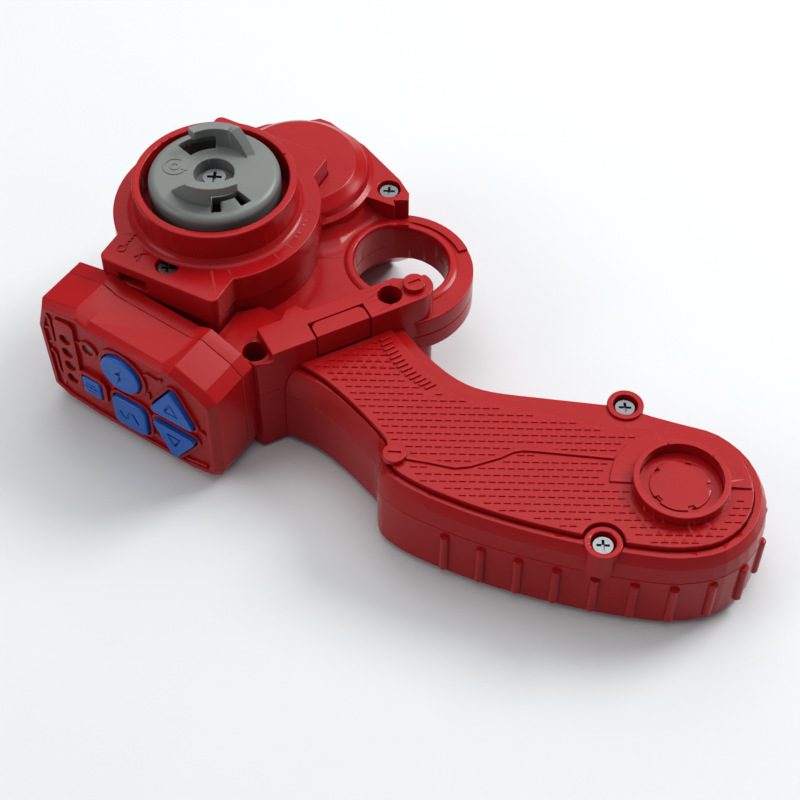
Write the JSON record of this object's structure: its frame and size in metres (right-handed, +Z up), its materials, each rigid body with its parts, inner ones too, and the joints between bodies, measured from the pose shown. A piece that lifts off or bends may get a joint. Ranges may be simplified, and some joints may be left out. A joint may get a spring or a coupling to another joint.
{
  "type": "spinning top launcher",
  "caption": "Hand-held rip-cord launcher for a spinning top: round hub with hooked prongs, finger ring, push-button pod and pistol grip with a textured plate.",
  "frame": {"origin": "where the launch hub's axis meets the plane that the launcher lies on", "axes": "+X along the grip, away from the hub; +Y away from the button pod; +Z up along the hub's axis"},
  "size_m": [0.1969, 0.1476, 0.0662],
  "materials": {
    "red_plastic": "moulded, semi-gloss",
    "grey_plastic": "moulded, satin",
    "blue_plastic": "moulded, satin",
    "natural_plastic": "natural acetal",
    "steel": "zinc plated",
    "bronze": "sintered",
    "board": "laminate",
    "black_plastic": "moulded",
    "lamp": "clear dome",
    "cell": "wrapped, plain"
  },
  "bodies": {
    "casing": {"lower_casing": "red_plastic", "upper_casing": "red_plastic", "launch_tower": "red_plastic", "pod_front_case": "red_plastic", "pod_rear_case": "red_plastic", "grip_lower_shell": "red_plastic", "grip_upper_shell": "red_plastic", "grip_plate": "red_plastic", "medallion": "red_plastic", "slotted_caps": "red_plastic", "battery_door": "red_plastic", "bearing_plate": "natural_plastic", "cord_guide": "natural_plastic", "battery_contacts": "steel", "door_screw": "steel", "case_screws": "steel", "grip_screws": "steel", "pod_screws": "steel", "board_screws": "steel", "clutch_spring": "steel", "latch_spring": "steel", "lower_bush": "bronze", "upper_bush": "bronze", "button_board": "board", "button_switches": "black_plastic", "indicator_lamps": "lamp", "battery_cells": "cell"},
    "launch_drive": {"launch_hub": "grey_plastic", "hub_screw": "steel", "hub_spindle": "steel", "clutch_disc": "natural_plastic"},
    "pinion": {"drive_pinion": "natural_plastic"},
    "latch": {"grip_latch": "red_plastic"},
    "round_button_body": {"round_button": "blue_plastic"},
    "square_button_body": {"square_button": "blue_plastic"},
    "mode_button_body": {"mode_button": "blue_plastic"},
    "upper_arrow_button_body": {"upper_arrow_button": "blue_plastic"},
    "lower_arrow_button_body": {"lower_arrow_button": "blue_plastic"}
  },
  "joints": [
    {"name": "hub_spin", "type": "hinge", "parent": "casing", "child": "launch_drive", "pos_m": [0, 0, 0], "axis": [0, 0, 1], "continuous": true},
    {"name": "pinion_spin", "type": "hinge", "parent": "casing", "child": "pinion", "pos_m": [0, 0, 0], "axis": [0, 0, 1], "continuous": true},
    {"name": "latch_press", "type": "slide", "parent": "casing", "child": "latch", "axis": [0, 0, -1], "range_m": [0, 0.0015], "stiffness_N_per_m": 400, "springref_m": -0.0005},
    {"name": "round_button_press", "type": "slide", "parent": "casing", "child": "round_button_body", "axis": [0.5075, 0.8616, 0], "range_m": [0, 0.0008], "stiffness_N_per_m": 400, "springref_m": -0.0005},
    {"name": "square_button_press", "type": "slide", "parent": "casing", "child": "square_button_body", "axis": [0.5075, 0.8616, 0], "range_m": [0, 0.0008], "stiffness_N_per_m": 400, "springref_m": -0.0005},
    {"name": "mode_button_press", "type": "slide", "parent": "casing", "child": "mode_button_body", "axis": [0.5075, 0.8616, 0], "range_m": [0, 0.0008], "stiffness_N_per_m": 400, "springref_m": -0.0005},
    {"name": "upper_arrow_button_press", "type": "slide", "parent": "casing", "child": "upper_arrow_button_body", "axis": [0.5075, 0.8616, 0], "range_m": [0, 0.0008], "stiffness_N_per_m": 400, "springref_m": -0.0005},
    {"name": "lower_arrow_button_press", "type": "slide", "parent": "casing", "child": "lower_arrow_button_body", "axis": [0.5075, 0.8616, 0], "range_m": [0, 0.0008], "stiffness_N_per_m": 400, "springref_m": -0.0005}
  ],
  "couplings": [
    {"joint": "pinion_spin", "follows": "hub_spin", "ratio": 1}
  ]
}
